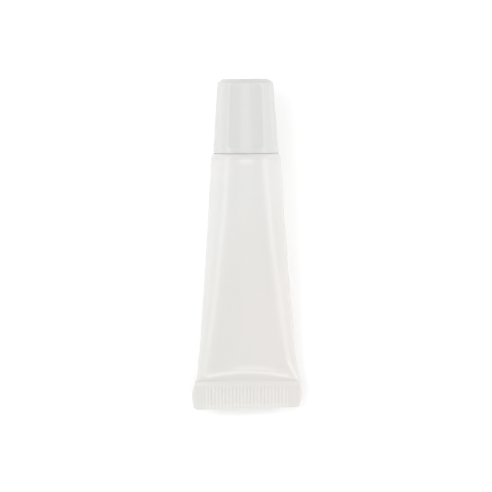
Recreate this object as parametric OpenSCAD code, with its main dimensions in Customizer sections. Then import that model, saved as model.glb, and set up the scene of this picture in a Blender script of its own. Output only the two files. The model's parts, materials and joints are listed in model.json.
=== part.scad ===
// A small squeeze tube of lip cream with a fluted screw cap, in millimetres.
// The sleeve is round at its shoulder and welded flat at its other end. It lies on its belly,
// so the shoulder end stands a little higher: +Y runs towards the cap, +X along the weld, +Z up.

/* [Sleeve] */
// Diameter of the sleeve at its round end
tube_d = 16; // [14.5:0.5:25]
// Length from the shoulder's face to the edge of the weld
tube_l = 59; // [45:0.5:90]
// Thickness of the sleeve's wall
film_t = 0.5; // [0.35:0.05:0.7]
// Thickness of the filled belly where it starts to fold down
belly_t = 8.8; // [6:0.1:12]
// Length of the fold from the belly down to the weld
fold_l = 6.6; // [5:0.1:9]
// Fall of the fold where it meets the weld, for each millimetre along
fold_fall = 1.3; // [0.6:0.05:1.4]
// Depth by which the soft belly is pressed flat underneath, where it starts to fold down
sag = 0.3; // [0.1:0.05:0.6]

/* [Weld] */
// Length of the whole welded band
weld_l = 6.6; // [4:0.1:9]
// Plain strip between the fold and the ribs
strip_above = 1.2; // [0.2:0.1:1.5]
// Plain strip between the ribs and the edge
strip_below = 0.95; // [0.4:0.05:1.8]
// Radius of the weld's two corners
corner_r = 0.8; // [0.2:0.1:1.2]
// Distance from one rib to the next
rib_pitch = 0.81; // [0.6:0.01:1.4]
// Height of a rib from valley to crest
rib_h = 0.2; // [0.08:0.02:0.3]

/* [Head] */
// Radius of the shoulder's rounded edge
edge_r = 1.4; // [0.8:0.1:2]
// Thickness of the shoulder
shoulder_t = 1.2; // [0.8:0.1:1.6]
// Length of the ring that the sleeve is welded on to
spigot_l = 2.5; // [1.5:0.1:4]
// Wall of that ring
spigot_w = 0.8; // [0.5:0.1:1.2]
// Height of the neck above the shoulder
neck_l = 7.5; // [5:0.1:10]
// Diameter of the neck under its thread
neck_d = 7; // [6:0.1:8]
// Diameter over the crests of the thread
thread_d = 7.9; // [7.2:0.1:8.6]
// Wall of the neck
neck_w = 1.2; // [0.8:0.1:1.5]
// Thickness of the neck's closed end
tip_t = 1; // [0.6:0.1:1.5]
// Bevel round the end of the neck
tip_bevel = 0.35; // [0.1:0.05:0.6]
// Diameter of the hole that the cream comes out of
orifice_d = 2.8; // [1.5:0.1:3.4]

/* [Cap] */
// Height of the cap
cap_l = 16.5; // [14:0.1:22]
// Diameter of the cap at its rim
rim_d = 14.9; // [14.4:0.1:16]
// Diameter of the cap at the foot of its top bevel
top_d = 12.8; // [12.6:0.1:14]
// Width of the top bevel, measured inwards
bevel_w = 1.15; // [0.4:0.05:2]
// Height of the top bevel
bevel_h = 0.9; // [0.3:0.05:2]
// Outer wall of the cap
cap_w = 0.95; // [0.8:0.05:1.05]
// Thickness of the cap's crown
crown_t = 1.2; // [0.9:0.1:2]
// Wall of the threaded socket inside
socket_w = 0.75; // [0.5:0.05:0.9]
// Distance that the socket's mouth stands back from the rim
socket_back = 0.5; // [0.2:0.1:1.5]
// Width of the ledge that presses on the sealing disc
ledge_w = 1.3; // [0.8:0.1:1.8]

/* [Flutes] */
// Number of flutes round the cap
flutes = 8; // [6:1:12]
// Share of the cap's girth that the flutes take
flute_share = 0.5; // [0.3:0.05:0.6]
// Depth of a flute
flute_depth = 0.4; // [0.2:0.05:0.5]
// Plain band between the flutes and the rim
rim_band = 1.05; // [0.5:0.05:2.5]
// Plain band between the flutes and the top bevel
top_band = 0.35; // [0.1:0.05:2]

/* [Fits] */
// Gap between the cap's rim and the shoulder
rim_gap = 0.3; // [0.1:0.05:0.6]
// Gap round the thread inside the socket
thread_gap = 0.15; // [0.1:0.05:0.25]
// Thickness of the sealing disc
wad_t = 1; // [0.5:0.1:1.5]
// Gap round the sealing disc
wad_gap = 0.1; // [0.05:0.05:0.2]
// Gap between the sleeve and the ring inside it
spigot_gap = 0.08; // [0.06:0.02:0.12]
// Gap between the cream and the walls that hold it
cream_gap = 0.06; // [0.06:0.02:0.12]

/* [Hidden] */

// Sides of a lofted section and of a turned surface
section_sides = 48;
$fn = 96;
// Rings of the loft along the belly and along the fold
belly_rings = 10;
fold_rings = 10;
// Share of the fold that stays hollow before its walls meet
hollow_share = 0.95;
// How far one shape runs into the next within a piece
lap = 0.4;

// The sleeve's film doesn't stretch, so each section keeps the girth of the round end
tube_r = tube_d / 2;
girth = PI * tube_d;
weld_w = girth / 2;
weld_t = 2 * film_t;
belly_h = belly_t / 2;
fold_end = tube_l - weld_l;
fold_start = fold_end - fold_l;
spigot_end = edge_r + spigot_l;
taper = (tube_r - belly_h) / (fold_start - spigot_end);

// Places on the tube's axis, where 0 is the shoulder's face
wad_top = neck_l + wad_t;
crown_z = rim_gap + cap_l;

// Radii round the neck
neck_r = neck_d / 2;
bore_r = neck_r - neck_w;
spigot_r = tube_r - film_t - spigot_gap;
socket_r = thread_d / 2 + thread_gap;
wad_r = socket_r - wad_gap;

// Radii of the cap
rim_r = rim_d / 2;
top_r = top_d / 2;
crown_r = top_r - bevel_w;
bevel_z = cap_l - bevel_h;

// The surface that the tube lies on presses the belly flat: not at all where it leaves the ring,
// and by the sag where the fold starts. A section's own flat side is a little inside its round
side_share = cos(180 / section_sides);
tip = atan(((tube_r - belly_h) * side_share + sag) / (fold_start - spigot_end));
axis_height = tube_r * side_share * cos(tip) + spigot_end * sin(tip);
front = crown_z * cos(tip) + crown_r * sin(tip);
back = tube_l * cos(tip) + film_t * sin(tip);

// Girth of an ellipse with half axes a and b
function ellipse_girth(a, b) = PI * (3 * (a + b) - sqrt((3 * a + b) * (a + 3 * b)));

// Half width of the section that keeps the sleeve's girth at half thickness b, found by halving
function half_width(b, low, high, turns) =
    let (middle = (low + high) / 2)
    turns == 0 ? middle
    : ellipse_girth(middle, b) > girth ? half_width(b, low, middle, turns - 1)
    : half_width(b, middle, high, turns - 1);

// Half thickness at a distance s from the shoulder: round over the ring inside it, then a
// straight belly, then a smooth fold
function belly_at(s) = tube_r - taper * max(0, s - spigot_end);
function fold_at(u) =
    belly_h * (2 * u ^ 3 - 3 * u ^ 2 + 1)
    - taper * fold_l * (u ^ 3 - 2 * u ^ 2 + u)
    + film_t * (3 * u ^ 2 - 2 * u ^ 3)
    - fold_fall * fold_l * (u ^ 3 - u ^ 2);

// Distance from the axis down to the surface that the tube lies on
function rest_at(s) = tube_r * side_share - tan(tip) * (s - spigot_end);

// One section of the sleeve, drawn in by inset and pressed flat underneath, on its +Y side
function section(s, b, inset) =
    let (a = half_width(b, b, girth / 4, 30), rest = rest_at(s) - inset)
    [for (i = [0 : section_sides - 1])
        let (t = (i + 0.5) * 360 / section_sides)
        [(a - inset) * cos(t), min((b - inset) * sin(t), rest), -s]];

// The sections from the far end of the fold up to the distance top
function sections(top, fold_share, inset) = [
    for (i = [fold_rings : -1 : 1])
        let (u = fold_share * i / fold_rings)
        section(fold_start + u * fold_l, fold_at(u), inset),
    for (i = [belly_rings : -1 : 0])
        let (start = max(top, spigot_end), s = start + (fold_start - start) * i / belly_rings)
        section(s, belly_at(s), inset),
    if (top < spigot_end) section(top, tube_r, inset)];

// A list in the opposite order
function backwards(list) = [for (i = [len(list) - 1 : -1 : 0]) list[i]];

// A closed solid through rings of equal length, with a flat face at each end
module loft(rings) {
    n = len(rings[0]);
    polyhedron(
        points = [for (ring = rings) each ring],
        faces = [
            [for (i = [0 : n - 1]) i],
            for (k = [0 : len(rings) - 2], i = [0 : n - 1])
                let (low = k * n, high = low + n, j = (i + 1) % n)
                each [[high + i, high + j, low + j], [high + i, low + j, low + i]],
            [for (i = [n - 1 : -1 : 0]) (len(rings) - 1) * n + i]],
        convexity = 4);
}

// Turns the tube from its own upright axis to the way that it lies
module lie_down() {
    translate([0, (back - front) / 2, axis_height]) rotate([tip - 90, 0, 0]) children();
}

// Outline of the weld: square at the fold, with two rounded corners at the edge
module weld_outline() {
    half = weld_w / 2;
    translate([-half, -tube_l + corner_r]) square([weld_w, weld_l - corner_r]);
    translate([-half + corner_r, -tube_l]) square([weld_w - 2 * corner_r, corner_r + lap]);
    for (side = [-1, 1])
        translate([side * (half - corner_r), -tube_l + corner_r]) circle(corner_r);
}

// The weld's two plain strips, flat plates on both sides of the ribs
module weld_strips() {
    rib_l = weld_l - strip_above - strip_below;
    translate([0, film_t, 0]) rotate([90, 0, 0]) linear_extrude(weld_t)
        difference() {
            weld_outline();
            translate([-weld_w, -tube_l + strip_below]) square([2 * weld_w, rib_l]);
        }
}

// The ribbed band, one wavy outline swept along the tube
module weld_ribs() {
    rib_l = weld_l - strip_above - strip_below;
    count = floor((weld_w - 2 * film_t) / rib_pitch);
    wave = [for (i = [0 : 4 * count])
        [(i / 4 - count / 2) * rib_pitch, rib_h / 2 * [0, 1, 0, -1][i % 4]]];
    ends = [[-weld_w / 2, 0], each wave, [weld_w / 2, 0]];
    outline = [for (p = ends) p + [0, film_t], for (p = backwards(ends)) p - [0, film_t]];
    translate([0, 0, -tube_l + strip_below]) linear_extrude(rib_l) polygon(outline);
}

// The sleeve: a hollow loft from the round end to the flat weld, with its wall as one skin
module tube_sleeve() {
    hollow = backwards(sections(edge_r, hollow_share, film_t));
    color("white") lie_down() {
        loft([each sections(edge_r, 1, 0), each hollow]);
        weld_strips();
        weld_ribs();
    }
}

// The head: a round-edged shoulder, a ring inside the sleeve, and the neck with its hole
module tube_head() {
    color("white") lie_down() rotate_extrude() difference() {
        polygon([
            [orifice_d / 2, neck_l], [neck_r - tip_bevel, neck_l], [neck_r, neck_l - tip_bevel],
            [neck_r, 0], [tube_r, 0], [tube_r, -edge_r],
            [spigot_r, -edge_r], [spigot_r, -spigot_end], [spigot_r - spigot_w, -spigot_end],
            [spigot_r - spigot_w, -shoulder_t], [bore_r, -shoulder_t],
            [bore_r, neck_l - tip_t], [orifice_d / 2, neck_l - tip_t]]);
        translate([tube_r - edge_r, -edge_r]) difference() {
            square(edge_r + lap);
            circle(edge_r);
        }
    }
}

// The cream that fills the sleeve and the neck
module lip_cream() {
    plug_r = spigot_r - spigot_w - cream_gap;
    fill_top = spigot_end + cream_gap;
    color("mistyrose") lie_down() {
        loft(sections(fill_top, hollow_share, film_t + cream_gap));
        translate([0, 0, -fill_top - lap])
            cylinder(r = plug_r, h = fill_top + lap - shoulder_t - cream_gap);
        translate([0, 0, -fill_top])
            cylinder(r = bore_r - cream_gap, h = fill_top + neck_l - tip_t - cream_gap);
    }
}

// The soft disc between the end of the neck and the cap
module sealing_disc() {
    color("whitesmoke") lie_down() translate([0, 0, neck_l]) cylinder(r = wad_r, h = wad_t);
}

// Half section of the cap: the outer wall, the crown, and the socket with its ledge
module cap_section() {
    ledge_z = wad_top - rim_gap;
    under_z = cap_l - crown_t;
    slope = (rim_r - top_r) / bevel_z;
    polygon([
        [rim_r - cap_w, 0], [rim_r, 0], [top_r, bevel_z], [crown_r, cap_l], [0, cap_l],
        [0, under_z], [socket_r - ledge_w, under_z], [socket_r - ledge_w, ledge_z],
        [socket_r, ledge_z], [socket_r, socket_back], [socket_r + socket_w, socket_back],
        [socket_r + socket_w, under_z], [rim_r - cap_w - slope * under_z, under_z]]);
}

// One flute: a flat-floored cut along the cap's taper, round at its top
module flute() {
    lean = atan((rim_r - top_r) / bevel_z);
    low_w = rim_r * 2 * PI * flute_share / flutes;
    high_w = top_r * 2 * PI * flute_share / flutes;
    high_z = bevel_z - top_band - high_w / 2;
    translate([0, -rim_r, 0]) rotate([-lean, 0, 0]) translate([0, flute_depth, 0])
        rotate([90, 0, 0]) linear_extrude(2 * flute_depth + lap) {
            polygon([[-low_w / 2, rim_band], [low_w / 2, rim_band],
                [high_w / 2, high_z], [-high_w / 2, high_z]]);
            translate([0, high_z]) circle(d = high_w);
        }
}

// The screw cap, which stands on the sealing disc with its rim just clear of the shoulder
module cap() {
    color("gainsboro") lie_down() translate([0, 0, rim_gap]) difference() {
        rotate_extrude() cap_section();
        for (i = [0 : flutes - 1]) rotate((i + 0.5) * 360 / flutes) flute();
    }
}

tube_sleeve();
tube_head();
lip_cream();
sealing_disc();
cap();
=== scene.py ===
"""A small white squeeze tube of lip cream with a fluted screw cap, lying on its belly.

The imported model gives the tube's axis and every main size. Each surface below is worked out along
that axis and laid into the row's frame, in metres. Local places are (x, up, t): x runs across the
weld, up is square to the axis and away from the floor, and t runs along the axis towards the cap,
with 0 at the shoulder's face.
"""

import json
import math

import bpy
import numpy as np
from mathutils import Matrix, Vector


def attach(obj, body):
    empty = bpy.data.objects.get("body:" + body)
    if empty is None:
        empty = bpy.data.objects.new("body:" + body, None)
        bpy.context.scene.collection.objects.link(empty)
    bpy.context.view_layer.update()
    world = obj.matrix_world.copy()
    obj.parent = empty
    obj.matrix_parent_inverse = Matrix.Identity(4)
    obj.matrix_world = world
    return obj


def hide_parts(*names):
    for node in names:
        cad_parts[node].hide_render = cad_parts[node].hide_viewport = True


bl_info = {
    "name": "Lip cream tube",
    "version": (1, 0, 0),
    "blender": (4, 5, 0),
    "location": "View3D > Sidebar > Lip Tube",
    "description": "Dresses a small squeeze tube of lip cream and its fluted screw cap",
    "category": "Object",
}

MM = 0.001

# Sizes that more than one shape uses, then what more than one material uses
CRISP = 0.012 * MM
WELD_CORNER = 0.8 * MM
RING_GAP = 0.08 * MM
RING_WALL = 0.8 * MM
NECK_TIP = 1.0 * MM
SHOULDER_PLATE = 1.2 * MM
THREAD_START = 1.1 * MM
EVEN = (1.0, 1.0, 1.0)
SATIN = (0.29, 0.34)
WARM_TONE = (1.0, 0.955, 0.94)

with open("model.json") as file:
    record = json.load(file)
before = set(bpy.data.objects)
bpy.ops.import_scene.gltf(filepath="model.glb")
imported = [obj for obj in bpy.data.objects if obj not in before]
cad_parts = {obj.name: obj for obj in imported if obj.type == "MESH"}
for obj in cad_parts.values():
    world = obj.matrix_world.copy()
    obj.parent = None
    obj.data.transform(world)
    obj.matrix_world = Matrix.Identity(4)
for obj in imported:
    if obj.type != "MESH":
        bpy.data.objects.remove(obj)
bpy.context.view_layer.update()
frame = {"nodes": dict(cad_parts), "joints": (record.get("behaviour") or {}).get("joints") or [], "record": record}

JOINTS = {joint["name"]: joint for joint in frame["joints"]}
COUPLING = frame["record"]["behaviour"]["couplings"][0]
AXIS = np.array(JOINTS["cap_turn"]["axis"], float)
SHOULDER = np.array(JOINTS["cap_turn"]["pos_m"], float)
ACROSS = np.array([1.0, 0.0, 0.0])
UP = np.cross(ACROSS, AXIS)
LEAD = 2 * math.pi / COUPLING["ratio"]


def node_reach(node):
    """Lowest and highest place of a CAD node along the axis, and its largest radius."""
    mesh = frame["nodes"][node].data
    co = np.empty(len(mesh.vertices) * 3, np.float32)
    mesh.vertices.foreach_get("co", co)
    away = co.reshape(-1, 3) - SHOULDER
    along = away @ AXIS
    radius = np.linalg.norm(away - along[:, None] * AXIS, axis=1)
    return float(along.min()), float(along.max()), float(radius.max())


HEAD_LOW, NECK_TOP, TUBE_R = node_reach("tube_head")
WELD_END = -node_reach("tube_sleeve")[0]
RIM_GAP, CROWN_TOP, RIM_R = node_reach("cap")
DISC_TOP, DISC_R = node_reach("sealing_disc")[1:]


# Settings, which are what a user would change


def length(name, millimetres, text):
    """A length property whose default is given in millimetres."""
    return bpy.props.FloatProperty(
        name=name, description=text, default=millimetres * MM, min=0.0, unit="LENGTH", precision=5
    )


def share(name, value, text):
    """A number between 0 and 1."""
    return bpy.props.FloatProperty(name=name, description=text, default=value, min=0.0, max=1.0)


def amount(name, value, text):
    """A number of 0 or more."""
    return bpy.props.FloatProperty(name=name, description=text, default=value, min=0.0)


def colour(name, value, text):
    """A colour, in Blender's own linear values."""
    return bpy.props.FloatVectorProperty(
        name=name, description=text, default=value, size=3, min=0.0, max=1.0, subtype="COLOR"
    )


class SleeveSettings(bpy.types.PropertyGroup):
    """Sizes and colour of the squeezable sleeve."""

    film: length("Film", 0.5, "Thickness of the sleeve's wall")
    edge: length("Shoulder edge", 1.4, "Length of the head's rounded edge, where the sleeve starts")
    belly: length("Belly", 4.3, "Half thickness of the filled belly at its far end")
    ridge: length("Ridge place", 49.75, "Distance from the shoulder to the fold's ridge")
    weld: length("Weld length", 6.7, "Length of the welded band")
    arch: length("Ridge arch", 1.8, "How much further down the ridge's ends lie than its middle")
    rib_start: length("Rib start", 1.3, "Plain strip between the fold and the ribs")
    rib_pitch: length("Rib pitch", 0.81, "Distance from one rib to the next")
    rib_height: length("Rib height", 0.16, "Height of a rib from valley to crest")
    lip: length("Lip height", 0.26, "Height of the raised lip along the fold's ridge")
    skew: length("Skew", 0.2, "How far the weld's end stands aside, to the left")
    pinch: length("Pinch", 0.45, "How far the fold's left end draws in above the weld")
    # Painted shade: the rib shade darkens the film's colour in the valleys between the ribs, where shade falls.
    shade: share("Rib shade", 0.03, "How much darker the film is pressed between the ribs")
    # Painted highlight: how much lighter the film's colour is painted along the ridge, on the weld's strip, the
    # ribs' crests, the right crease and a spot by the shoulder.
    highlight_gain: share("Stress whitening", 0.13, "How much lighter the film is where it's bent sharply")
    warmth: share("Warmth", 0.5, "Strength of the warm cast over the lower right of the film")
    colour: colour("Film colour", (0.80, 0.797, 0.777), "Colour of the white film")


class HeadSettings(bpy.types.PropertyGroup):
    """Sizes and colour of the moulded head."""

    neck: length("Neck radius", 3.5, "Radius of the neck under its thread")
    thread: length("Thread height", 0.45, "Height of the thread above the neck")
    bore: length("Bore radius", 2.3, "Radius of the channel inside the neck")
    orifice: length("Orifice radius", 1.4, "Radius of the hole that the cream comes out of")
    colour: colour("Head colour", (0.80, 0.797, 0.777), "Colour of the moulded head")


class CapSettings(bpy.types.PropertyGroup):
    """Sizes and colour of the screw cap."""

    top: length("Top radius", 6.4, "Radius at the foot of the top bevel")
    bevel_width: length("Bevel width", 1.15, "Width of the top bevel")
    bevel_height: length("Bevel height", 0.9, "Height of the top bevel")
    wall: length("Wall", 0.95, "Outer wall of the cap")
    crown: length("Crown", 1.2, "Thickness of the crown")
    socket: length("Socket radius", 4.1, "Radius of the threaded socket")
    socket_wall: length("Socket wall", 0.75, "Wall of the threaded socket")
    flutes: bpy.props.IntProperty(
        name="Flutes", description="Number of flutes round the cap", default=8, min=3
    )
    flute_share: share("Flute share", 0.45, "Share of the cap's girth that the flutes take")
    flute_depth: length("Flute depth", 0.17, "Depth of a flute at its middle")
    flute_edge: length("Flute edge", 0.34, "Width of the rounding along a flute's edge")
    rim_gap: length("Rim gap", 0.02, "Gap between the rim and the shoulder")
    skirt: length("Rim skirt", 0.17, "How far the rim's outer edge reaches past the shoulder face")
    rim_band: length("Rim band", 1.05, "Plain band between the flutes and the rim")
    colour: colour("Cap colour", (0.735, 0.743, 0.717), "Colour of the moulded cap")


class CreamSettings(bpy.types.PropertyGroup):
    """Colours of what the tube holds and of what seals it."""

    cream: colour("Cream colour", (0.86, 0.74, 0.68), "Colour of the cream")
    disc: colour("Disc colour", (0.78, 0.78, 0.76), "Colour of the sealing disc")


class StageSettings(bpy.types.PropertyGroup):
    """Camera, floor and lights."""

    pixel: length("Pixel", 0.2291, "What one pixel of the picture covers on the tube's axis")
    centre_x: bpy.props.FloatProperty(
        name="Axis column", description="Picture column of the tube's axis", default=246.1
    )
    lean: bpy.props.FloatProperty(
        name="Lean", description="Turn of the tube in the picture, in degrees", default=-0.4
    )
    tilt: bpy.props.FloatProperty(
        name="Tilt", description="Turn of the camera towards the cap's end, in degrees", default=3.0
    )
    gap_row: bpy.props.FloatProperty(
        name="Shoulder row", description="Picture row of the shoulder's face", default=151.8
    )
    distance: length("Camera distance", 700.0, "Distance from the camera to the tube's axis")
    left_strip: amount("Left strip", 6.6, "Radiance of the narrow light on the left")
    right_strip: amount("Right strip", 5.6, "Radiance of the narrow light on the right")
    right_panel: amount("Right panel", 0.35, "Radiance of the wide low light on the right")
    key: amount("Key", 5.7, "Radiance of the soft light above on the left")
    foot: amount("Foot", 0.7, "Radiance of the wide low light beyond the weld")
    head: amount("Head", 2.2, "Radiance of the wide light overhead, seen only as a reflection")
    world: amount("World", 0.62, "Strength of the surround that lights the tube")
    floor: amount("Floor", 0.21, "Light that the floor adds of its own where it's seen")


# Shapes


def smooth_step(low, high, value):
    """0 below low, 1 above high, and a smooth rise between."""
    t = np.clip((value - low) / (high - low), 0.0, 1.0)
    return t * t * (3 - 2 * t)


def lay(x, up, t):
    """Row-frame points of local places, as one array with the points in its last axis."""
    x, up, t = np.broadcast_arrays(x, up, t)
    return SHOULDER + x[..., None] * ACROSS + up[..., None] * UP + t[..., None] * AXIS


def turned(radius, angle, t):
    """Row-frame points at a radius and an angle round the axis; angle grows as a cap unscrews."""
    return lay(radius * np.cos(angle), -radius * np.sin(angle), t)


def rounded_path(corners, step):
    """A path through corners (r, t, rounding), each turned into an arc that touches both sides.

    An arc starts its radius divided by the tangent of half the corner's angle away from it. A
    corner with no rounding gets a close point on each side, which keeps its shading crisp.
    Between them the path runs straight, and everything is resampled to about one step.
    """
    corners = np.asarray(corners, float)
    points = [corners[0, :2]]
    for before, here, after in zip(corners[:-2], corners[1:-1], corners[2:]):
        back = before[:2] - here[:2]
        ahead = after[:2] - here[:2]
        back /= np.linalg.norm(back)
        ahead /= np.linalg.norm(ahead)
        half = 0.5 * math.acos(float(np.clip(back @ ahead, -1, 1)))
        if here[2] <= 0:
            points.extend([here[:2] + back * CRISP, here[:2], here[:2] + ahead * CRISP])
            continue
        tangent = here[2] / math.tan(half)
        centre = here[:2] + (back + ahead) / np.linalg.norm(back + ahead) * here[2] / math.sin(half)
        start, end = here[:2] + back * tangent, here[:2] + ahead * tangent
        first, last = (math.atan2(*(p - centre)[::-1]) for p in (start, end))
        turn = (last - first + math.pi) % (2 * math.pi) - math.pi
        angles = first + turn * np.linspace(0, 1, 7)
        points.extend(centre + here[2] * np.stack([np.cos(angles), np.sin(angles)], 1))
    points.append(corners[-1, :2])
    points = np.array(points)
    pieces = []
    for a, b in zip(points[:-1], points[1:]):
        count = max(1, math.ceil(np.linalg.norm(b - a) / step))
        pieces.append(a + (b - a) * np.linspace(0, 1, count, endpoint=False)[:, None])
    return np.concatenate([*pieces, points[-1:]])


def skin(name, grid, first, last):
    """A closed mesh over a grid of rings, one ring for each row, whose columns join up.

    Each end is closed as a pole, a fan to the ring's middle, or as a zip, a strip across the ring
    between points that mirror each other. The faces are turned outwards if the volume is negative.
    """
    rows, columns, _ = grid.shape
    points = grid.reshape(-1, 3)
    row, column = np.meshgrid(np.arange(rows - 1), np.arange(columns), indexing="ij")
    a = row * columns + column
    b = row * columns + (column + 1) % columns
    quads = np.stack([a, b, b + columns, a + columns], -1).reshape(-1, 4)
    triangles = []
    extra = []
    for end, row_start, flip in ((first, 0, True), (last, (rows - 1) * columns, False)):
        ring = row_start + np.arange(columns)
        ahead = np.roll(ring, -1)
        if end == "pole":
            middle = np.full(columns, len(points) + len(extra))
            extra.append(points[ring].mean(0))
            fan = np.stack([ring, ahead, middle], -1)
            triangles.append(fan[:, ::-1] if flip else fan)
        else:
            half = columns // 2
            top = ring[1:half]
            low = ring[: half : -1]
            strip = np.stack([top[:-1], top[1:], low[1:], low[:-1]], -1)
            ends = np.array([[ring[0], top[0], low[0]], [top[-1], ring[half], low[-1]]])
            quads = np.concatenate([quads, strip[:, ::-1] if flip else strip])
            triangles.append(ends[:, ::-1] if flip else ends)
    if extra:
        points = np.concatenate([points, extra])
    triangles = np.concatenate(triangles)
    return solid(name, points, quads, triangles)


def solid(name, points, quads, triangles):
    """A smooth-shaded mesh object from points and faces, turned outwards and put at the origin."""
    halves = np.concatenate([quads[:, [0, 1, 2]], quads[:, [0, 2, 3]], triangles])
    p, q, r = (points[halves[:, i]] - SHOULDER for i in range(3))
    if np.einsum("ij,ij->", p, np.cross(q, r)) < 0:
        quads, triangles = quads[:, ::-1], triangles[:, ::-1]
    mesh = bpy.data.meshes.new(name)
    mesh.vertices.add(len(points))
    mesh.vertices.foreach_set("co", points.astype(np.float32).ravel())
    corners = np.concatenate([quads.ravel(), triangles.ravel()])
    starts = np.concatenate(
        [np.arange(len(quads)) * 4, len(quads) * 4 + np.arange(len(triangles)) * 3]
    )
    mesh.loops.add(len(corners))
    mesh.loops.foreach_set("vertex_index", corners.astype(np.int32))
    mesh.polygons.add(len(starts))
    mesh.polygons.foreach_set("loop_start", starts.astype(np.int32))
    mesh.polygons.foreach_set("use_smooth", np.ones(len(starts), bool))
    mesh.update(calc_edges=True)
    mesh.validate()
    piece = bpy.data.objects.new(name, mesh)
    bpy.context.scene.collection.objects.link(piece)
    return piece


# Materials


def link(tree, source, socket, node, target):
    """Joins one node's output to another node's input."""
    tree.links.new(source.outputs[socket], node.inputs[target])


def noise(tree, scale, detail, stretch=EVEN):
    """A noise texture on the piece's own coordinates, stretched along an axis if asked."""
    place = tree.nodes.new("ShaderNodeTexCoord")
    mapping = tree.nodes.new("ShaderNodeMapping")
    mapping.inputs["Scale"].default_value = stretch
    texture = tree.nodes.new("ShaderNodeTexNoise")
    texture.inputs["Scale"].default_value = scale
    texture.inputs["Detail"].default_value = detail
    link(tree, place, "Object", mapping, "Vector")
    link(tree, mapping, "Vector", texture, "Vector")
    return texture


def ramp(tree, source, socket, stops):
    """A colour ramp over a value, with stops (position, colour)."""
    node = tree.nodes.new("ShaderNodeValToRGB")
    while len(node.color_ramp.elements) < len(stops):
        node.color_ramp.elements.new(0.5)
    for element, (position, value) in zip(node.color_ramp.elements, stops):
        element.position = position
        element.color = (*value, 1.0)
    link(tree, source, socket, node, "Fac")
    return node


def spread(tree, source, low, high):
    """Maps a noise value to a range, for roughness."""
    node = tree.nodes.new("ShaderNodeMapRange")
    node.inputs["From Min"].default_value = 0.3
    node.inputs["From Max"].default_value = 0.7
    node.inputs["To Min"].default_value = low
    node.inputs["To Max"].default_value = high
    link(tree, source, "Fac", node, "Value")
    return node


def bump(tree, layers):
    """Bumps on top of each other, from layers (texture, strength, height in metres)."""
    previous = None
    for texture, strength, height in layers:
        node = tree.nodes.new("ShaderNodeBump")
        node.inputs["Strength"].default_value = strength
        node.inputs["Distance"].default_value = height
        link(tree, texture, "Fac", node, "Height")
        if previous:
            link(tree, previous, "Normal", node, "Normal")
        previous = node
    return previous


def tinted(base, change):
    """A colour with a small amount added to each channel."""
    return tuple(min(1.0, max(0.0, b + c)) for b, c in zip(base, change))


def moulded_plastic(name, base, rough, layers, glow=0.0, tint=(0.012, 0.004, 0.008)):
    """White plastic: cloudy colour, uneven gloss, and bumps at the given scales.

    layers holds (noise scale, detail, stretch, strength, height) for each bump.
    """
    material = bpy.data.materials.new(name)
    material.use_nodes = True
    tree = material.node_tree
    shader = tree.nodes["Principled BSDF"]
    cloud = noise(tree, 38.0, 2.0)
    stops = [
        (0.3, tinted(base, (-tint[0], -tint[1], -tint[2]))),
        (0.5, base),
        (0.7, tinted(base, (tint[0], 0.0, tint[2] * 0.5))),
    ]
    link(tree, ramp(tree, cloud, "Fac", stops), "Color", shader, "Base Color")
    patch = noise(tree, 260.0, 3.0)
    link(tree, spread(tree, patch, rough[0], rough[1]), "Result", shader, "Roughness")
    shader.inputs["IOR"].default_value = 1.5
    if glow:
        shader.inputs["Subsurface Weight"].default_value = glow
        shader.inputs["Subsurface Radius"].default_value = (1.0, 0.9, 0.8)
        shader.inputs["Subsurface Scale"].default_value = 0.0008
    textures = []
    for scale, detail, stretch, power, height in layers:
        textures.append((noise(tree, scale, detail, stretch), power, height))
    link(tree, bump(tree, textures), "Normal", shader, "Normal")
    return material


def paint(piece, name, values):
    """Stores one value for each vertex, for a material to read."""
    attribute = piece.data.attributes.new(name, "FLOAT", "POINT")
    attribute.data.foreach_set("value", values.astype(np.float32).ravel())


def toned(material, attribute, tone, strength):
    """Multiplies a material's colour by a tone where a painted value is high."""
    tree = material.node_tree
    shader = tree.nodes["Principled BSDF"]
    before = shader.inputs["Base Color"].links[0].from_socket
    value = tree.nodes.new("ShaderNodeAttribute")
    value.attribute_name = attribute
    scaled = tree.nodes.new("ShaderNodeMath")
    scaled.operation = "MULTIPLY"
    scaled.inputs[1].default_value = strength
    mix = tree.nodes.new("ShaderNodeMix")
    mix.data_type = "RGBA"
    mix.blend_type = "MULTIPLY"
    mix.inputs["B"].default_value = (*tone, 1.0)
    link(tree, value, "Fac", scaled, 0)
    link(tree, scaled, "Value", mix, "Factor")
    tree.links.new(before, mix.inputs["A"])
    tree.links.new(mix.outputs["Result"], shader.inputs["Base Color"])


def dress(piece, material, body, node):
    """Gives a piece its material and slot, and has it ride on a body in place of a CAD node."""
    piece.data.materials.append(material)
    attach(piece, body)
    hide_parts(node)


# The sleeve


def girth_half_width(b):
    """Half width of the ellipse with half thickness b whose girth is that of the round end.

    Found by halving on the usual approximation of an ellipse's girth.
    """
    girth = 2 * math.pi * TUBE_R
    low, high = np.array(b, float), np.full(np.shape(b), girth / 4)
    for _ in range(40):
        a = 0.5 * (low + high)
        long = math.pi * (3 * (a + b) - np.sqrt((3 * a + b) * (a + 3 * b))) > girth
        low, high = np.where(long, low, a), np.where(long, a, high)
    return 0.5 * (low + high)


def bent_line(s, bends, rounding):
    """A line of straight stretches whose bends (place, value) are rounded.

    Each bend adds half its change of slope times the smooth absolute value of the distance to it,
    which is the square root of the distance squared plus the rounding squared.
    """
    places, values = np.array(bends).T
    slopes = np.diff(values) / np.diff(places)
    line = values[0] + slopes[0] * (s - places[0])
    for place, change, soft in zip(places[1:-1], np.diff(slopes), rounding):
        away = s - place
        line = line + change * 0.5 * (away + np.sqrt(away**2 + soft**2))
    return line


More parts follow.
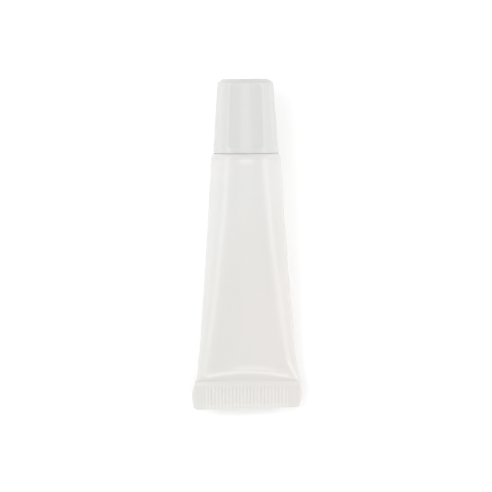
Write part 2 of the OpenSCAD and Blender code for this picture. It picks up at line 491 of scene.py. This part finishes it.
def belly_thickness(s, settings):
    """Half thickness of the filled belly, which falls faster and faster from the round end.

    The fall is 0.6 of the way's share plus 0.4 of its square, and reaches the belly's value 4 mm
    before the ridge.
    """
    way = (s - settings.edge) / (settings.ridge - 4 * MM - settings.edge)
    way = np.clip(way, 0, None)
    return TUBE_R - (TUBE_R - settings.belly) * (0.6 * way + 0.4 * way**2)


def sleeve_thickness(s, soft, settings):
    """Half thickness on the middle line: the belly, a bend of the given softness, a steep fold.

    The fold is a falling line that starts at the ridge, and the smooth minimum of it and the
    belly is their mean less half the rounded distance between them.
    """
    weld_start = WELD_END - settings.weld
    ridge = settings.ridge + 0.35 * MM
    top = belly_thickness(ridge, settings)
    fall = top - (top - settings.film) * (s - ridge) / (weld_start - ridge)
    belly = belly_thickness(s, settings)
    b = 0.5 * (belly + fall - np.sqrt((belly - fall) ** 2 + soft**2))
    return np.clip(b, settings.film, TUBE_R)


def sleeve_width(s, settings):
    """Half width along the sleeve, from a thickness that falls earlier than the middle line does.

    The sides of the filled film draw together before its middle does, so the outline widens over
    the last quarter of the belly.
    """
    weld_start = WELD_END - settings.weld
    early = settings.ridge - 3.0 * MM
    late = weld_start - 0.7 * MM
    bends = [
        (early - 4 * MM, belly_thickness(early - 4 * MM, settings)),
        (early, belly_thickness(early, settings)),
        (late, 2.3 * MM),
        (weld_start + 0.8 * MM, 0.9 * MM),
        (weld_start + 3.5 * MM, settings.film),
        (WELD_END + MM, settings.film),
    ]
    side = bent_line(s, bends, (0.8 * MM, 0.4 * MM, 0.4 * MM, 0.6 * MM))
    blend = smooth_step(early - 4 * MM, early - 1 * MM, s)
    b = belly_thickness(s, settings) * (1 - blend) + side * blend
    return girth_half_width(np.clip(b, settings.film, TUBE_R)) - weld_corner(s)


def weld_corner(s):
    """How much of the half width the weld's end loses to its rounded and drawn-in corners."""
    into = np.clip(s - (WELD_END - WELD_CORNER), 0, WELD_CORNER)
    drawn = smooth_step(WELD_END - 2.6 * MM, WELD_END, s) * 0.3 * MM
    return WELD_CORNER - np.sqrt(np.maximum(WELD_CORNER**2 - into**2, 0)) * 0.999 + drawn


def rib_wave(x, settings):
    """A wave across the weld, 1 in the middle of each valley and 0 on each crest."""
    return 0.5 + 0.5 * np.cos(2 * math.pi * x / settings.rib_pitch)


def past_ridge(x, s, settings):
    """Distance past the fold's ridge, whose ends lie further down than its middle by the arch."""
    half_width = 11.3 * MM
    return s - settings.ridge - settings.arch * (x / half_width) ** 2


def rib_valleys(x, s, settings):
    """Depth share of the valleys between ribs, 1 at a valley and 0 on a crest or off the band.

    Each rib's ends are shifted a little by a sum of sines of its number, as the jaws leave them,
    and the band is faint at its left end and missing at its right end.
    """
    number = np.floor(x / settings.rib_pitch)
    uneven = (np.sin(number * 2.3) + np.sin(number * 5.1 + 1.0)) * 0.1 * MM
    start = WELD_END - settings.weld + settings.rib_start + uneven * 0.5
    end = WELD_END - 0.95 * MM + uneven * 1.6
    along = smooth_step(start, start + 0.35 * MM, s) * (1 - smooth_step(end - 0.5 * MM, end, s))
    left = 0.5 + 0.5 * smooth_step(-9.4 * MM, -8.4 * MM, x)
    right = 1 - smooth_step(9.3 * MM, 9.8 * MM, x)
    across = left * smooth_step(-12.0 * MM, -11.2 * MM, x) * right
    strength = 0.88 + 0.12 * np.sin(number * 1.7 + 0.6)
    return rib_wave(x, settings) ** 1.3 * along * across * strength


def right_crease(x, s):
    """A narrow raised crease that runs across the right end of the fold, 1 on its line."""
    start, end = np.array([8.4, 46.2]) * MM, np.array([11.9, 52.9]) * MM
    run = (end - start) / np.linalg.norm(end - start)
    along = (x - start[0]) * run[0] + (s - start[1]) * run[1]
    off = (x - start[0]) * run[1] - (s - start[1]) * run[0]
    span = np.linalg.norm(end - start)
    ends = smooth_step(0, 2.5 * MM, along) * (1 - smooth_step(span - 0.8 * MM, span, along))
    return np.exp(-((off / (0.3 * MM)) ** 2)) * ends


def sleeve_rows(s, columns, inset, settings):
    """Rings of the sleeve at distances s, drawn in by inset.

    Each half of a ring runs across the width. Its height is that of an ellipse on the belly and of
    a plate with round edges on the weld, and the ribs, ridge and waves of the film are added to it.
    """
    half = columns // 2
    u = np.linspace(0, 1, half, endpoint=False)
    weld_start = WELD_END - settings.weld
    flat = smooth_step(weld_start - 1.1 * MM, weld_start + 0.2 * MM, s)[:, None]
    even = 0.85 * smooth_step(weld_start - 6 * MM, weld_start, s)[:, None]
    across = (1 - even) * np.cos(math.pi * u) + even * (1 - 2 * u)
    across = np.concatenate([across, -across], 1)
    side = np.where(np.arange(columns) < half, 1.0, -1.0)

    width = (sleeve_width(s, settings) - inset)[:, None]
    drawn = smooth_step(weld_start - 5 * MM, weld_start - 1.5 * MM, s)
    drawn = drawn * (1 - smooth_step(weld_start + 0.4 * MM, weld_start + 3 * MM, s))
    x = width * across + settings.pinch * drawn[:, None] * np.maximum(-across, 0) ** 3

    lag = settings.arch * across**2 * (1 - flat)
    soft = (1.1 - 0.7 * across**2) * MM
    b = sleeve_thickness(s[:, None] - lag, soft, settings) - inset
    round_height = np.sqrt(np.maximum(1 - across**2, 0))
    edge = np.minimum(b, width)
    over = np.clip(np.abs(x) - (width - edge), 0, None)
    plate_height = np.sqrt(np.maximum(edge**2 - over**2, 0)) / edge
    height = b * ((1 - flat) * round_height + flat * plate_height)
    valleys = rib_valleys(x, s[:, None], settings)
    if not inset:
        height = height + film_waves(x, s[:, None], settings, side) * round_height
        height = height + settings.rib_height * (0.5 - valleys) * side * flat * plate_height
    slant = 0.4 * MM * (across + 1) / 2 * smooth_step(WELD_END - 4 * MM, WELD_END, s)[:, None]
    skew = settings.skew * smooth_step(weld_start - 2 * MM, weld_start + 4 * MM, s)[:, None]
    grid = lay(x - skew, height * side, slant - s[:, None])
    grid[..., 2] = np.maximum(grid[..., 2], inset)
    # Painted highlight for the film's colour.
    highlight_share = painted_highlights(x, s[:, None], settings)
    return grid, valleys, warm_cast(x, s[:, None]), highlight_share


def fold_crease(x, away):
    """A thin crease just above the ridge's middle, 1 on its line, from the distance past it."""
    line = np.exp(-(((away + 0.12 * MM) / (0.14 * MM)) ** 2))
    return line * np.exp(-(((x - 1.9 * MM) / (4.2 * MM)) ** 4))


def painted_highlights(x, s, settings):
    """Where the film gets painted highlight: along the ridge, above its middle, and on the weld's strip.

    The ribs' crests, the crease at the right and a spot by the shoulder get painted highlight too.
    """
    away = past_ridge(x, s, settings)
    ridge = np.exp(-(((away - 0.4 * MM) / (0.48 * MM)) ** 2))
    ridge = ridge * (1 - smooth_step(8.4 * MM, 10.2 * MM, np.abs(x)))
    above = smooth_step(-1.7 * MM, -0.3 * MM, away) * (1 - smooth_step(0, 0.2 * MM, away))
    above = 0.65 * above * np.exp(-(((x - 1.6 * MM) / (5.0 * MM)) ** 4))
    into = s - (WELD_END - settings.weld)
    strip = smooth_step(-0.4 * MM, 0.7 * MM, into) * (1 - smooth_step(1.0 * MM, 1.5 * MM, into))
    band = smooth_step(1.0 * MM, 1.5 * MM, into) * (np.abs(x) < 9.4 * MM)
    crests = band * (1 - rib_wave(x, settings))
    light = np.maximum(np.maximum(ridge, above), np.maximum(0.35 * strip, 0.55 * crests))
    light = np.maximum(light, 0.8 * right_crease(x, s))
    spot = np.exp(-((x / (1.7 * MM)) ** 4) - ((s - 1.7 * MM) / (0.55 * MM)) ** 2)
    light = np.maximum(light, 0.8 * spot)
    return light * (1 - 0.9 * fold_crease(x, away))


def warm_cast(x, s):
    """Where the film looks warmer: its middle and right, from the belly down."""
    return smooth_step(-9 * MM, -1 * MM, x + 0.1 * s) * smooth_step(6 * MM, 34 * MM, s + 0.8 * x)


def film_waves(x, s, settings, side):
    """Slow waves of the filled film, and on its upper side the lip and creases of the fold.

    The lip rises smoothly over 1.5 mm up to the arched ridge and falls away with the fold.
    """
    slow = 0.03 * MM * np.sin(s / (6.1 * MM) + 1.0) * np.cos(x / (4.1 * MM) + 0.4)
    away = past_ridge(x, s, settings)
    lip = smooth_step(-1.5 * MM, 0, away) * (1 - smooth_step(0.1 * MM, 0.9 * MM, away))
    lip = lip * (1 - smooth_step(8.0 * MM, 9.6 * MM, np.abs(x)))
    upper = settings.lip * lip - 0.06 * MM * fold_crease(x, away) + 0.1 * MM * right_crease(x, s)
    return slow + upper * (side > 0)


class LIPTUBE_OT_sleeve(bpy.types.Operator):
    """Make the squeezable sleeve, flattened to its ribbed weld"""

    bl_idname = "lip_tube.sleeve"
    bl_label = "Sleeve"
    columns = 400

    def execute(self, context):
        settings = context.scene.lip_tube_sleeve
        weld_start = WELD_END - settings.weld
        belly_end = settings.ridge - 5 * MM
        outer = np.concatenate([
            [settings.edge, settings.edge + CRISP],
            np.linspace(settings.edge + 0.3 * MM, belly_end, 36, endpoint=False),
            np.linspace(belly_end, weld_start + 0.6 * MM, 84, endpoint=False),
            np.linspace(weld_start + 0.6 * MM, WELD_END - WELD_CORNER, 36, endpoint=False),
            WELD_END - WELD_CORNER * (1 - np.sin(np.linspace(0, math.pi / 2, 16))),
        ])
        inner_end = weld_start - 1.0 * MM
        inner = np.concatenate([
            [settings.edge, settings.edge + CRISP], np.linspace(4 * MM, inner_end, 28)
        ])
        outside, valleys, warmth, highlight_share = sleeve_rows(outer, self.columns, 0.0, settings)
        inside = sleeve_rows(inner, self.columns, settings.film, settings)[0]
        inwards = np.array([CRISP / settings.film, 1 - CRISP / settings.film])[:, None, None]
        edge = outside[0] + (inside[0] - outside[0]) * inwards
        grid = np.concatenate([outside[::-1], edge, inside])
        piece = skin("sleeve_film", grid, "zip", "zip")
        hidden = np.zeros((len(grid) - len(outer), self.columns))
        # Painted shade between the ribs, stored for the film's colour.
        paint(piece, "valley", np.concatenate([valleys[::-1], hidden]))
        paint(piece, "warmth", np.concatenate([warmth[::-1], hidden]))
        # Painted highlight, stored for the film's colour.
        paint(piece, "painted_highlight", np.concatenate([highlight_share[::-1], hidden]))
        layers = [
            (420.0, 2.0, (1.0, 0.35, 1.0), 0.25, 0.00005),
            (5200.0, 2.0, EVEN, 0.12, 0.00001),
        ]
        film = moulded_plastic("white_film", tuple(settings.colour), SATIN, layers, 0.15)
        toned(film, "warmth", WARM_TONE, settings.warmth)
        valley_shade, light = 1 - settings.shade, 1 + settings.highlight_gain
        # Painted shade: darkens the film's colour in the valleys between the ribs.
        toned(film, "valley", (valley_shade, valley_shade, valley_shade), 1.0)
        # Painted highlight: lightens the film's colour where the highlights fall.
        toned(film, "painted_highlight", (light, light, light), 1.0)
        dress(piece, film, "tube", "tube_sleeve")
        return {"FINISHED"}


# The head


def thread_height(t, angle, start, end, base, crest, height):
    """Height of a one-start right-hand thread: a trapezoid round the helix, faded at both ends."""
    turns = angle / (2 * math.pi)
    centre = start + LEAD * turns
    place = (t - centre + LEAD / 2) % LEAD - LEAD / 2
    along = t - place
    profile = np.clip((base / 2 - np.abs(place)) / (base / 2 - crest / 2), 0, 1)
    fade = smooth_step(start, start + 0.3 * LEAD, along)
    fade = fade * (1 - smooth_step(end - 0.3 * LEAD, end, along))
    return height * profile * fade


class LIPTUBE_OT_head(bpy.types.Operator):
    """Make the moulded head: shoulder, inner ring, and threaded neck"""

    bl_idname = "lip_tube.head"
    bl_label = "Head"
    columns = 192

    def execute(self, context):
        settings = context.scene.lip_tube_head
        sleeve = context.scene.lip_tube_sleeve
        ring_out = TUBE_R - sleeve.film - RING_GAP
        ring_in = ring_out - RING_WALL
        tip = NECK_TOP - NECK_TIP
        soft = 0.12 * MM
        path = rounded_path([
            (settings.orifice, tip, 0), (settings.orifice, NECK_TOP, soft),
            (settings.neck, NECK_TOP, 0.35 * MM), (settings.neck, 0, 0.2 * MM),
            (TUBE_R, 0, sleeve.edge - 2 * CRISP), (TUBE_R, -sleeve.edge, 0),
            (ring_out, -sleeve.edge, 0), (ring_out, HEAD_LOW, soft),
            (ring_in, HEAD_LOW, soft), (ring_in, -SHOULDER_PLATE, soft),
            (settings.bore, -SHOULDER_PLATE, soft), (settings.bore, tip, soft),
            (settings.orifice, tip, 0),
        ], 0.12 * MM)
        angle = np.linspace(0, 2 * math.pi, self.columns, endpoint=False)
        r, t = path[:-1, :1], path[:-1, 1:]
        outside = (r > settings.neck - 0.02 * MM) & (r < settings.neck + 0.02 * MM)
        ridge = thread_height(
            t, angle, THREAD_START, tip, 1.0 * MM, 0.45 * MM, settings.thread
        )
        grid = turned(r + ridge * outside, angle, t)
        piece = ring_skin("head_moulding", grid)
        layers = [(900.0, 2.0, EVEN, 0.15, 0.00002)]
        plastic = moulded_plastic("head_plastic", tuple(settings.colour), SATIN, layers, 0.15)
        dress(piece, plastic, "tube", "tube_head")
        return {"FINISHED"}


def ring_skin(name, grid):
    """A closed mesh over a grid that joins up both ways, such as a ring's turned section."""
    rows, columns, _ = grid.shape
    row, column = np.meshgrid(np.arange(rows), np.arange(columns), indexing="ij")
    ahead, beside = (row + 1) % rows, (column + 1) % columns
    quads = np.stack([
        row * columns + column, row * columns + beside,
        ahead * columns + beside, ahead * columns + column,
    ], -1).reshape(-1, 4)
    return solid(name, grid.reshape(-1, 3), quads, np.empty((0, 3), int))


# The cap


def cap_angles(flutes, per_flute):
    """Angles round the cap, closer together at the flutes' edges and starting on a rib's middle."""
    u = np.linspace(0, 1, per_flute, endpoint=False)
    sector = 2 * math.pi / flutes
    bunched = u + 0.055 * np.sin(4 * math.pi * u)
    return (np.arange(flutes)[:, None] * sector + bunched * sector).ravel()


def flute_cut(r, t, angle, settings):
    """How far a flute cuts in: its floor is flat, and its outline a slot with a round top.

    The distance to the outline is measured on the unrolled surface, and the cut rises over the
    width of the edge's rounding. The floor lies at the depth divided by the cosine of the angle.
    """
    sector = 2 * math.pi / settings.flutes
    off = (angle % sector) - sector / 2
    half = r * sector * settings.flute_share / 2
    x = np.abs(off * r)
    low = RIM_GAP + settings.rim_band
    corner = 0.35 * MM
    high = CROWN_TOP - settings.bevel_height - corner - half
    above = np.hypot(x, np.maximum(t - high, 0)) - half
    qx, qt = x - (half - corner), (low + corner) - t
    below = np.hypot(np.maximum(qx, 0), np.maximum(qt, 0)) - corner
    below = below + np.minimum(np.maximum(qx, qt), 0)
    outside = np.maximum(above, below)
    depth = smooth_step(settings.flute_edge, -settings.flute_edge, outside)
    floor = (r - settings.flute_depth) / np.cos(off)
    return depth * np.maximum(r - floor, 0)


class LIPTUBE_OT_cap(bpy.types.Operator):
    """Make the fluted screw cap with its threaded socket"""

    bl_idname = "lip_tube.cap"
    bl_label = "Cap"
    per_flute = 24

    def execute(self, context):
        settings = context.scene.lip_tube_cap
        head = context.scene.lip_tube_head
        bevel = CROWN_TOP - settings.bevel_height
        under = CROWN_TOP - settings.crown
        slope = (RIM_R - settings.top) / (bevel - RIM_GAP)
        rim_in = RIM_R - settings.wall
        top_in = rim_in - slope * (under - RIM_GAP)
        boss = settings.socket + settings.socket_wall
        mouth = RIM_GAP + 0.5 * MM
        core = settings.socket - 1.3 * MM
        soft = 0.15 * MM
        rim = settings.rim_gap
        crown_r = settings.top - settings.bevel_width
        pole = 0.4 * MM
        rim_middle = rim_in + 0.3 * MM
        outer = rounded_path([
            (pole, CROWN_TOP, 0), (crown_r, CROWN_TOP, 0.35 * MM),
            (settings.top, bevel, 0.4 * MM), (RIM_R, rim - settings.skirt, 0.08 * MM),
            (rim_middle, rim, 0),
        ], 0.15 * MM)
        inner = rounded_path([
            (rim_middle, rim, 0), (rim_in, rim, soft), (top_in, under, soft),
            (boss, under, soft), (boss, mouth, soft), (settings.socket, mouth, soft),
            (settings.socket, DISC_TOP, 0.05 * MM), (core, DISC_TOP, soft), (core, under, soft),
            (pole, under, 0),
        ], 0.18 * MM)
        angle = cap_angles(settings.flutes, self.per_flute)
        r, t = outer[:, :1], outer[:, 1:]
        side = (t < bevel) & (t > RIM_GAP + 0.5 * MM)
        outside = turned(r - flute_cut(r, t, angle, settings) * side, angle, t)
        r, t = inner[1:, :1], inner[1:, 1:]
        bore = np.abs(r - settings.socket) < 0.02 * MM
        # A quarter of the lead past the neck's thread. Inside the closed cap this flank cuts into
        # that thread by 0.1 mm, and half the lead would clear it.
        start = THREAD_START + LEAD / 4
        ridge = thread_height(
            t, angle, start, DISC_TOP - 1.2 * MM, 0.9 * MM, 0.4 * MM, head.thread
        )
        inside = turned(r - ridge * bore, angle, t)
        piece = skin("screw_cap", np.concatenate([outside, inside]), "pole", "pole")
        layers = [
            (700.0, 2.0, EVEN, 0.15, 0.00003),
            (6000.0, 2.0, EVEN, 0.1, 0.00001),
        ]
        plastic = moulded_plastic(
            "cap_plastic", tuple(settings.colour), (0.285, 0.32), layers, 0.08, (0.004, 0.0, 0.008)
        )
        dress(piece, plastic, "cap", "cap")
        return {"FINISHED"}


# What the tube holds


class LIPTUBE_OT_contents(bpy.types.Operator):
    """Make the cream and the sealing disc"""

    bl_idname = "lip_tube.contents"
    bl_label = "Cream and disc"
    columns = 96

    def execute(self, context):
        settings = context.scene.lip_tube_cream
        self.make_cream(context, tuple(settings.cream))
        self.make_disc(tuple(settings.disc))
        return {"FINISHED"}

    def make_cream(self, context, base):
        """The cream: the sleeve's inner form, then the neck's channel, with a domed end."""
        sleeve = context.scene.lip_tube_sleeve
        head = context.scene.lip_tube_head
        gap = 0.06 * MM
        fill = -HEAD_LOW + gap
        end = WELD_END - sleeve.weld - 1.2 * MM
        rows = np.linspace(end, fill, 40)
        belly = sleeve_rows(rows, self.columns, sleeve.film + gap, sleeve)[0]
        angle = -math.pi * np.linspace(0, 2, self.columns, endpoint=False)
        ring = TUBE_R - sleeve.film - RING_GAP - RING_WALL - gap
        neck = head.bore - gap
        tip = NECK_TOP - NECK_TIP - gap
        plate = -SHOULDER_PLATE - gap
        hole = head.orifice - gap
        path = rounded_path([
            (ring, -fill, 0), (ring, plate, 0.2 * MM), (neck, plate, 0.2 * MM),
            (neck, tip, 0.2 * MM), (hole, tip, 0.1 * MM), (hole, NECK_TOP - 0.45 * MM, 0.5 * MM),
            (0.15 * MM, NECK_TOP - 0.3 * MM, 0),
        ], 0.2 * MM)
        plug = turned(path[:, :1], angle, path[:, 1:])
        piece = skin("cream_fill", np.concatenate([belly, plug]), "zip", "pole")
        layers = [(900.0, 2.0, EVEN, 0.3, 0.00005)]
        material = moulded_plastic("cream", base, (0.18, 0.3), layers, 0.3)
        dress(piece, material, "tube", "lip_cream")

    def make_disc(self, base):
        """The sealing disc: a flat cylinder with slightly rounded edges."""
        pole, soft = 0.3 * MM, 0.12 * MM
        path = rounded_path([
            (pole, DISC_TOP, 0), (DISC_R, DISC_TOP, soft), (DISC_R, NECK_TOP, soft),
            (pole, NECK_TOP, 0),
        ], 0.2 * MM)
        angle = np.linspace(0, 2 * math.pi, self.columns, endpoint=False)
        piece = skin("foam_disc", turned(path[:, :1], angle, path[:, 1:]), "pole", "pole")
        layers = [(4200.0, 1.0, EVEN, 0.5, 0.00006)]
        foam = moulded_plastic("disc_foam", base, (0.6, 0.8), layers)
        dress(piece, foam, "disc", "sealing_disc")


# The stage


def seen_directly(tree):
    """1 for camera, glossy and transmission rays, and 0 for the rays that light the object."""
    path = tree.nodes.new("ShaderNodeLightPath")
    total = None
    for ray in ("Is Camera Ray", "Is Glossy Ray", "Is Transmission Ray"):
        if total is None:
            total = (path, ray)
            continue
        most = tree.nodes.new("ShaderNodeMath")
        most.operation = "MAXIMUM"
        tree.links.new(total[0].outputs[total[1]], most.inputs[0])
        tree.links.new(path.outputs[ray], most.inputs[1])
        total = (most, "Value")
    return total


class LIPTUBE_OT_stage(bpy.types.Operator):
    """Make the pale floor, the soft lights and the camera"""

    bl_idname = "lip_tube.stage"
    bl_label = "Stage"

    def execute(self, context):
        settings = context.scene.lip_tube_stage
        self.make_floor(settings.floor)
        self.make_world(context.scene, settings.world)
        target = Vector(SHOULDER - AXIS * WELD_END * 0.35)
        lights = (
            ("left_strip", (-0.36, 0.02, 0.195), (0.045, 0.7), settings.left_strip),
            ("right_strip", (0.36, -0.02, 0.185), (0.052, 0.7), settings.right_strip),
            ("right_panel", (0.36, -0.02, 0.09), (0.17, 0.8), settings.right_panel),
            ("key", (-0.16, 0.12, 0.36), (0.1, 0.1), settings.key),
            ("foot", (0.0, -0.4, 0.1), (0.8, 0.17), settings.foot),
            ("head", (0.0, 0.12, 1.0), (0.7, 0.24), settings.head),
        )
        # The key never shows as a reflection, and the head light is nothing else.
        for name, place, size, radiance in lights:
            light = self.make_light(name, place, target, size, radiance)
            light.visible_glossy = name != "key"
            light.visible_diffuse = name != "head"
        self.make_camera(context.scene, settings)
        context.scene.view_settings.view_transform = "Standard"
        return {"FINISHED"}

    def make_floor(self, glow):
        """A white floor that keeps a soft shadow, and shows as white where nothing shades it."""
        reach, low = 0.9, -0.00005
        mesh = bpy.data.meshes.new("floor")
        sides = ((-reach, -reach), (reach, -reach), (reach, reach), (-reach, reach))
        mesh.from_pydata([(x, y, low) for x, y in sides], [], [(0, 1, 2, 3)])
        floor = bpy.data.objects.new("floor", mesh)
        bpy.context.scene.collection.objects.link(floor)
        material = bpy.data.materials.new("white_floor")
        material.use_nodes = True
        tree = material.node_tree
        tree.nodes.remove(tree.nodes["Principled BSDF"])
        lit = tree.nodes.new("ShaderNodeBsdfDiffuse")
        lit.inputs["Color"].default_value = (0.8, 0.8, 0.8, 1)
        shade = tree.nodes.new("ShaderNodeBsdfDiffuse")
        shade.inputs["Color"].default_value = (0.95, 0.95, 0.95, 1)
        white = tree.nodes.new("ShaderNodeEmission")
        white.inputs["Strength"].default_value = glow
        both = tree.nodes.new("ShaderNodeAddShader")
        mix = tree.nodes.new("ShaderNodeMixShader")
        link(tree, shade, 0, both, 0)
        link(tree, white, 0, both, 1)
        source, socket = seen_directly(tree)
        link(tree, source, socket, mix, 0)
        link(tree, lit, 0, mix, 1)
        link(tree, both, 0, mix, 2)
        link(tree, mix, 0, tree.nodes["Material Output"], "Surface")
        floor.data.materials.append(material)

    def make_world(self, scene, strength):
        """An even pale surround that shows as white."""
        world = bpy.data.worlds.new("white_surround")
        world.use_nodes = True
        tree = world.node_tree
        light = tree.nodes["Background"]
        light.inputs["Strength"].default_value = strength
        light.inputs["Color"].default_value = (1, 1, 1, 1)
        shown = tree.nodes.new("ShaderNodeBackground")
        shown.inputs["Color"].default_value = (1, 1, 1, 1)
        path = tree.nodes.new("ShaderNodeLightPath")
        mix = tree.nodes.new("ShaderNodeMixShader")
        link(tree, path, "Is Camera Ray", mix, 0)
        link(tree, light, 0, mix, 1)
        link(tree, shown, 0, mix, 2)
        link(tree, mix, 0, tree.nodes["World Output"], "Surface")
        scene.world = world

    def make_light(self, name, place, target, size, radiance):
        """A rectangular light turned towards the tube, whose second side runs along it."""
        lamp = bpy.data.lights.new(name, "AREA")
        lamp.shape = "RECTANGLE"
        lamp.size, lamp.size_y = size
        lamp.energy = radiance * math.pi * size[0] * size[1]
        light = bpy.data.objects.new(name, lamp)
        away = (Vector(place) - target).normalized()
        along = Vector((0, 1, 0))
        across = along.cross(away).normalized()
        along = away.cross(across)
        turn = Matrix((across, along, away)).transposed().to_4x4()
        light.matrix_world = Matrix.Translation(place) @ turn
        bpy.context.scene.collection.objects.link(light)
        return light

    def make_camera(self, scene, settings):
        """A long lens, tilted from square to the tube's axis and framed by the picture's pixels."""
        picture = 492
        middle = (picture - 1) / 2
        camera = bpy.data.cameras.new("camera")
        camera.sensor_width = 36.0
        camera.lens = settings.distance * camera.sensor_width / (settings.pixel * picture)
        camera.clip_start = 0.01
        aside = (middle - settings.centre_x) * settings.pixel
        along = (settings.gap_row - middle) * settings.pixel
        tilt = math.radians(settings.tilt)
        away = UP * math.cos(tilt) + AXIS * math.sin(tilt)
        upright = AXIS * math.cos(tilt) - UP * math.sin(tilt)
        target = SHOULDER + ACROSS * aside + AXIS * along
        place = Vector(target + away * settings.distance)
        holder = bpy.data.objects.new("camera", camera)
        turn = Matrix([ACROSS, upright, away]).transposed().to_4x4()
        lean = Matrix.Rotation(math.radians(settings.lean), 4, "Z")
        holder.matrix_world = Matrix.Translation(place) @ turn @ lean
        scene.collection.objects.link(holder)
        scene.camera = holder


class LIPTUBE_PT_panel(bpy.types.Panel):
    """The tube's pieces, in the 3D view's sidebar"""

    bl_label = "Lip cream tube"
    bl_idname = "LIPTUBE_PT_panel"
    bl_space_type = "VIEW_3D"
    bl_region_type = "UI"
    bl_category = "Lip Tube"

    def draw(self, context):
        for operator in OPERATORS:
            self.layout.operator(operator.bl_idname)
        for name in SETTINGS:
            group = getattr(context.scene, name)
            box = self.layout.box()
            for key in group.__annotations__:
                box.prop(group, key)


OPERATORS = (
    LIPTUBE_OT_sleeve,
    LIPTUBE_OT_head,
    LIPTUBE_OT_cap,
    LIPTUBE_OT_contents,
    LIPTUBE_OT_stage,
)
SETTINGS = {
    "lip_tube_sleeve": SleeveSettings,
    "lip_tube_head": HeadSettings,
    "lip_tube_cap": CapSettings,
    "lip_tube_cream": CreamSettings,
    "lip_tube_stage": StageSettings,
}


def register():
    for group in SETTINGS.values():
        bpy.utils.register_class(group)
    for name, group in SETTINGS.items():
        setattr(bpy.types.Scene, name, bpy.props.PointerProperty(type=group))
    for operator in OPERATORS:
        bpy.utils.register_class(operator)
    bpy.utils.register_class(LIPTUBE_PT_panel)


def unregister():
    bpy.utils.unregister_class(LIPTUBE_PT_panel)
    for operator in reversed(OPERATORS):
        bpy.utils.unregister_class(operator)
    for name, group in SETTINGS.items():
        delattr(bpy.types.Scene, name)
        bpy.utils.unregister_class(group)


def main():
    register()
    bpy.ops.lip_tube.stage()
    bpy.ops.lip_tube.sleeve()
    bpy.ops.lip_tube.head()
    bpy.ops.lip_tube.cap()
    bpy.ops.lip_tube.contents()


if __name__ == "__main__":
    main()
